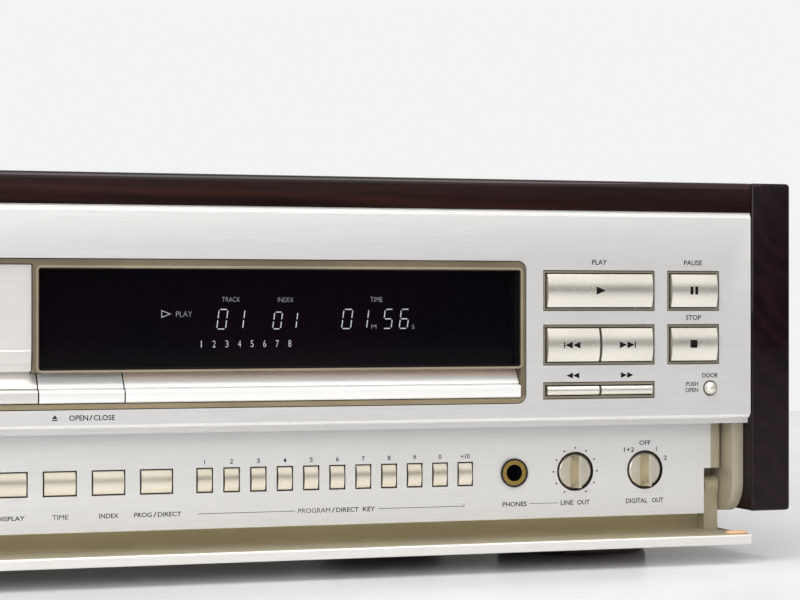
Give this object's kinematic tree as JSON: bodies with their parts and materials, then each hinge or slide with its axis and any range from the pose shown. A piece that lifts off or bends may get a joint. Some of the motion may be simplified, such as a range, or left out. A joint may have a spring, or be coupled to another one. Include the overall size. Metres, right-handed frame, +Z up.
{
  "type": "cd player",
  "caption": "Front-loading disc player in a gloss wood case with a thick aluminium front, a disc tray, display, push buttons and a drop-down flap over its keys.",
  "frame": {"origin": "middle of the bounding box's underside, on the surface that the player stands on", "axes": "+X to the player's right as one faces its front, -Y out of the front, +Z up"},
  "size_m": [0.475, 0.41, 0.15],
  "materials": {
    "aluminium": "satin brushed",
    "champagne": "satin champagne anodised",
    "lining": "satin olive brown",
    "beige": "satin beige",
    "rosewood": "high gloss lacquer",
    "black_glass": "polished black",
    "black_plastic": "satin",
    "dark_metal": "fine matt paint",
    "zinc_steel": "zinc plated",
    "grey_plastic": "moulded",
    "pale_plastic": "moulded",
    "circuit": "lacquered board"
  },
  "bodies": {
    "case": {"base_plate": "zinc_steel", "rear_panel": "dark_metal", "wood_lid": "rosewood", "wood_side_left": "rosewood", "wood_side_right": "rosewood", "front_panel": "aluminium", "window_frame": "lining", "display_glass": "black_glass", "window_bar": "aluminium", "transport_bezel": "lining", "key_panel": "aluminium", "front_frame": "beige", "foot_front_left": "dark_metal", "foot_front_right": "dark_metal", "foot_rear_left": "dark_metal", "foot_rear_right": "dark_metal", "headphone_jack": "black_plastic", "front_board": "circuit", "main_board": "circuit", "power_transformer": "dark_metal", "loader_frame": "grey_plastic", "clamp_bridge": "zinc_steel", "output_sockets": "black_plastic", "power_inlet": "black_plastic"},
    "tray": {"tray": "grey_plastic", "tray_door": "aluminium"},
    "flap": {"door_flap": "aluminium"},
    "gear": {"loading_gear": "pale_plastic"},
    "traverse": {"traverse_base": "zinc_steel"},
    "spindle": {"spindle_turntable": "black_plastic"},
    "sled": {"pickup_sled": "black_plastic"},
    "puck": {"clamp_puck": "black_plastic"},
    "open_close_button": {"open_close_button": "aluminium"},
    "play_button": {"play_button": "champagne"},
    "pause_button": {"pause_button": "champagne"},
    "stop_button": {"stop_button": "champagne"},
    "previous_button": {"previous_button": "champagne"},
    "next_button": {"next_button": "champagne"},
    "search_back_button": {"search_back_button": "champagne"},
    "search_forward_button": {"search_forward_button": "champagne"},
    "door_button": {"door_button": "champagne"},
    "power_button": {"power_button": "champagne"},
    "repeat_key": {"repeat_key": "champagne"},
    "display_key": {"display_key": "champagne"},
    "time_key": {"time_key": "champagne"},
    "index_key": {"index_key": "champagne"},
    "program_key": {"program_key": "champagne"},
    "number_key_1": {"number_key_1": "champagne"},
    "number_key_2": {"number_key_2": "champagne"},
    "number_key_3": {"number_key_3": "champagne"},
    "number_key_4": {"number_key_4": "champagne"},
    "number_key_5": {"number_key_5": "champagne"},
    "number_key_6": {"number_key_6": "champagne"},
    "number_key_7": {"number_key_7": "champagne"},
    "number_key_8": {"number_key_8": "champagne"},
    "number_key_9": {"number_key_9": "champagne"},
    "number_key_0": {"number_key_0": "champagne"},
    "number_key_10": {"number_key_10": "champagne"},
    "line_out_knob": {"line_out_knob": "champagne"},
    "digital_out_knob": {"digital_out_knob": "champagne"}
  },
  "joints": [
    {"name": "flap_hinge", "type": "hinge", "parent": "case", "child": "flap", "pos_m": [0, -0.1795, 0.0294], "axis": [-1, 0, 0], "range_deg": [0, 90]},
    {"name": "tray_slide", "type": "slide", "parent": "case", "child": "tray", "axis": [0, -1, 0], "range_m": [0, 0.14]},
    {"name": "gear_spin", "type": "hinge", "parent": "case", "child": "gear", "pos_m": [-0.09075, -0.158, 0.0753], "axis": [0, 0, -1], "range_deg": [0, 715]},
    {"name": "traverse_lift", "type": "slide", "parent": "case", "child": "traverse", "axis": [0, 0, 1], "range_m": [0, 0.012]},
    {"name": "spindle_spin", "type": "hinge", "parent": "traverse", "child": "spindle", "pos_m": [-0.12985, -0.129, 0.075], "axis": [0, 0, 1], "continuous": true},
    {"name": "sled_slide", "type": "slide", "parent": "traverse", "child": "sled", "axis": [0, 1, 0], "range_m": [0, 0.033]},
    {"name": "puck_spin", "type": "hinge", "parent": "case", "child": "puck", "pos_m": [-0.12985, -0.129, 0.0993], "axis": [0, 0, 1], "continuous": true},
    {"name": "open_close_press", "type": "slide", "parent": "case", "child": "open_close_button", "axis": [0, 1, 0], "range_m": [0, 0.0012], "stiffness_N_per_m": 400, "springref_m": -0.001},
    {"name": "play_press", "type": "slide", "parent": "case", "child": "play_button", "axis": [0, 1, 0], "range_m": [0, 0.0012], "stiffness_N_per_m": 400, "springref_m": -0.001},
    {"name": "pause_press", "type": "slide", "parent": "case", "child": "pause_button", "axis": [0, 1, 0], "range_m": [0, 0.0012], "stiffness_N_per_m": 400, "springref_m": -0.001},
    {"name": "stop_press", "type": "slide", "parent": "case", "child": "stop_button", "axis": [0, 1, 0], "range_m": [0, 0.0012], "stiffness_N_per_m": 400, "springref_m": -0.001},
    {"name": "previous_press", "type": "slide", "parent": "case", "child": "previous_button", "axis": [0, 1, 0], "range_m": [0, 0.0012], "stiffness_N_per_m": 400, "springref_m": -0.001},
    {"name": "next_press", "type": "slide", "parent": "case", "child": "next_button", "axis": [0, 1, 0], "range_m": [0, 0.0012], "stiffness_N_per_m": 400, "springref_m": -0.001},
    {"name": "search_back_press", "type": "slide", "parent": "case", "child": "search_back_button", "axis": [0, 1, 0], "range_m": [0, 0.0012], "stiffness_N_per_m": 400, "springref_m": -0.001},
    {"name": "search_forward_press", "type": "slide", "parent": "case", "child": "search_forward_button", "axis": [0, 1, 0], "range_m": [0, 0.0012], "stiffness_N_per_m": 400, "springref_m": -0.001},
    {"name": "door_press", "type": "slide", "parent": "case", "child": "door_button", "axis": [0, 1, 0], "range_m": [0, 0.0012], "stiffness_N_per_m": 400, "springref_m": -0.001},
    {"name": "power_press", "type": "slide", "parent": "case", "child": "power_button", "axis": [0, 1, 0], "range_m": [0, 0.0012], "stiffness_N_per_m": 400, "springref_m": -0.001},
    {"name": "repeat_key_press", "type": "slide", "parent": "case", "child": "repeat_key", "axis": [0, 1, 0], "range_m": [0, 0.0008], "stiffness_N_per_m": 300, "springref_m": -0.001},
    {"name": "display_key_press", "type": "slide", "parent": "case", "child": "display_key", "axis": [0, 1, 0], "range_m": [0, 0.0008], "stiffness_N_per_m": 300, "springref_m": -0.001},
    {"name": "time_key_press", "type": "slide", "parent": "case", "child": "time_key", "axis": [0, 1, 0], "range_m": [0, 0.0008], "stiffness_N_per_m": 300, "springref_m": -0.001},
    {"name": "index_key_press", "type": "slide", "parent": "case", "child": "index_key", "axis": [0, 1, 0], "range_m": [0, 0.0008], "stiffness_N_per_m": 300, "springref_m": -0.001},
    {"name": "program_key_press", "type": "slide", "parent": "case", "child": "program_key", "axis": [0, 1, 0], "range_m": [0, 0.0008], "stiffness_N_per_m": 300, "springref_m": -0.001},
    {"name": "number_key_1_press", "type": "slide", "parent": "case", "child": "number_key_1", "axis": [0, 1, 0], "range_m": [0, 0.0008], "stiffness_N_per_m": 300, "springref_m": -0.001},
    {"name": "number_key_2_press", "type": "slide", "parent": "case", "child": "number_key_2", "axis": [0, 1, 0], "range_m": [0, 0.0008], "stiffness_N_per_m": 300, "springref_m": -0.001},
    {"name": "number_key_3_press", "type": "slide", "parent": "case", "child": "number_key_3", "axis": [0, 1, 0], "range_m": [0, 0.0008], "stiffness_N_per_m": 300, "springref_m": -0.001},
    {"name": "number_key_4_press", "type": "slide", "parent": "case", "child": "number_key_4", "axis": [0, 1, 0], "range_m": [0, 0.0008], "stiffness_N_per_m": 300, "springref_m": -0.001},
    {"name": "number_key_5_press", "type": "slide", "parent": "case", "child": "number_key_5", "axis": [0, 1, 0], "range_m": [0, 0.0008], "stiffness_N_per_m": 300, "springref_m": -0.001},
    {"name": "number_key_6_press", "type": "slide", "parent": "case", "child": "number_key_6", "axis": [0, 1, 0], "range_m": [0, 0.0008], "stiffness_N_per_m": 300, "springref_m": -0.001},
    {"name": "number_key_7_press", "type": "slide", "parent": "case", "child": "number_key_7", "axis": [0, 1, 0], "range_m": [0, 0.0008], "stiffness_N_per_m": 300, "springref_m": -0.001},
    {"name": "number_key_8_press", "type": "slide", "parent": "case", "child": "number_key_8", "axis": [0, 1, 0], "range_m": [0, 0.0008], "stiffness_N_per_m": 300, "springref_m": -0.001},
    {"name": "number_key_9_press", "type": "slide", "parent": "case", "child": "number_key_9", "axis": [0, 1, 0], "range_m": [0, 0.0008], "stiffness_N_per_m": 300, "springref_m": -0.001},
    {"name": "number_key_0_press", "type": "slide", "parent": "case", "child": "number_key_0", "axis": [0, 1, 0], "range_m": [0, 0.0008], "stiffness_N_per_m": 300, "springref_m": -0.001},
    {"name": "number_key_10_press", "type": "slide", "parent": "case", "child": "number_key_10", "axis": [0, 1, 0], "range_m": [0, 0.0008], "stiffness_N_per_m": 300, "springref_m": -0.001},
    {"name": "line_out_turn", "type": "hinge", "parent": "case", "child": "line_out_knob", "pos_m": [0.1512, -0.1865, 0.03675], "axis": [0, 1, 0], "range_deg": [-150, 150]},
    {"name": "digital_out_turn", "type": "hinge", "parent": "case", "child": "digital_out_knob", "pos_m": [0.181, -0.1865, 0.03675], "axis": [0, 1, 0], "range_deg": [-36, 62]}
  ],
  "couplings": [
    {"joint": "gear_spin", "follows": "tray_slide", "rad_per_m": 88.889},
    {"joint": "puck_spin", "follows": "spindle_spin", "ratio": 1}
  ]
}
